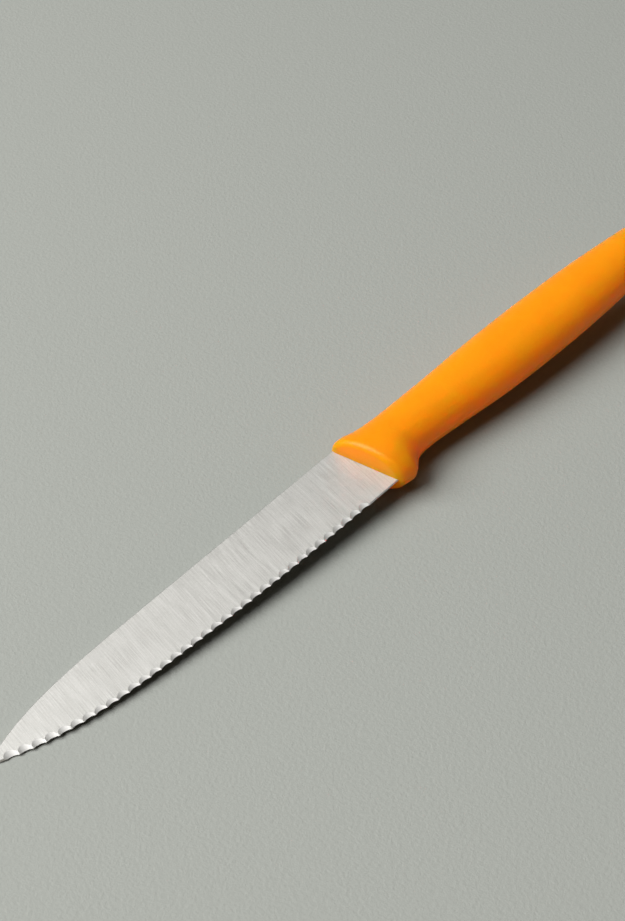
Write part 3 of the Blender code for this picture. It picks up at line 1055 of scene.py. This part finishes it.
# The camera, as it was solved from the photograph
AIM = (112.928, 12.852, 0.0)  # where the camera's axis meets the blade's middle plane, in millimetres
CAMERA_DISTANCE = 0.507217    # from there, in metres
CAMERA_RIGHT = Vector((0.70332, -0.70957, -0.04302))
CAMERA_UP = Vector((0.53345, 0.48682, 0.69169))
CAMERA_BACK = Vector((-0.46986, -0.50943, 0.72091))
CAMERA_LENS = 80.287          # millimetres, as the sensor's width
SENSOR_WIDTH = 36.0
CLIP_START = 0.01             # metres, as the other clip
CLIP_END = 20.0

# Softboxes: headings turn from +x towards +y, in degrees, and lengths are metres
PLAIN_TINT = (1.0, 1.0, 1.0)
KEY_SOFTBOX = {
    "heading": 147.0,
    "elevation": 50.0,
    "distance": 2.0,
    "width": 1.8,
    "height": 1.5,
    "watts": 62.5,
}
TOP_SOFTBOX = {
    "heading": 85.0,
    "elevation": 76.0,
    "distance": 2.0,
    "width": 1.5,
    "height": 1.5,
    "watts": 5.7,
}
LOW_SOFTBOX = {
    "heading": 265.0,
    "elevation": 15.0,
    "distance": 3.0,
    "width": 2.5,
    "height": 1.0,
    "watts": 3.5,
    "tint": (1.0, 0.72, 0.44),
}

# The room: a low fill on the knife, and the backdrop that the camera and reflections see
FILL_COLOUR = (0.012, 0.012, 0.012)
BACKDROP_COLOUR = (0.2, 0.205, 0.19)


def lit_from(name, heading, elevation, distance, width, height, watts, tint=PLAIN_TINT):
    """A softbox that faces the knife."""
    lamp = bpy.data.lights.new(name, "AREA")
    lamp.shape = "RECTANGLE"
    lamp.size = width
    lamp.size_y = height
    lamp.energy = watts
    lamp.color = tint
    light = new_object(name, lamp)
    turn, rise = math.radians(heading), math.radians(elevation)
    away = Vector((math.cos(turn) * math.cos(rise), math.sin(turn) * math.cos(rise), math.sin(rise)))
    light.location = knife_point(*AIM) + away * distance
    light.rotation_euler = away.to_track_quat("Z", "Y").to_euler()


def build_camera():
    """The camera at the photograph's place and angle."""
    data = bpy.data.cameras.new("camera")
    data.lens = CAMERA_LENS
    data.sensor_width = SENSOR_WIDTH
    data.clip_start = CLIP_START
    data.clip_end = CLIP_END
    camera = new_object("camera", data)
    axes = Matrix((CAMERA_RIGHT, CAMERA_UP, CAMERA_BACK)).transposed()
    place = knife_point(*AIM) + CAMERA_BACK * CAMERA_DISTANCE
    camera.matrix_world = Matrix.Translation(place) @ axes.to_4x4()
    bpy.context.scene.camera = camera


def build_surroundings():
    """A soft grey room: its backdrop shows in view and in reflections, and its low fill lights the knife."""
    world = bpy.data.worlds.new("studio")
    bpy.context.scene.world = world
    world.use_nodes = True
    tree = world.node_tree
    background = tree.nodes["Background"]
    path = tree.nodes.new("ShaderNodeLightPath").outputs
    reflected = maths(tree, "ADD", path["Is Glossy Ray"], path["Is Transmission Ray"])
    seen = maths(tree, "ADD", path["Is Camera Ray"], reflected)
    colour = tinted(tree, maths(tree, "MINIMUM", seen, 1.0), FILL_COLOUR, BACKDROP_COLOUR)
    tree.links.new(colour, background.inputs["Color"])


side_steel = ground_steel("cross_ground_steel", **SIDE_FINISH)
edge_steel = ground_steel("wheel_ground_steel", **EDGE_FINISH)
blade = build_blade(side_steel, edge_steel)
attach(blade, "root")
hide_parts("blade")

handle = build_handle(orange_plastic())
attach(handle, "root")
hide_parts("handle")

build_floor()
build_camera()
build_surroundings()
lit_from("key_softbox", **KEY_SOFTBOX)
lit_from("top_softbox", **TOP_SOFTBOX)
lit_from("low_softbox", **LOW_SOFTBOX)
bpy.context.scene.view_settings.view_transform = "Standard"
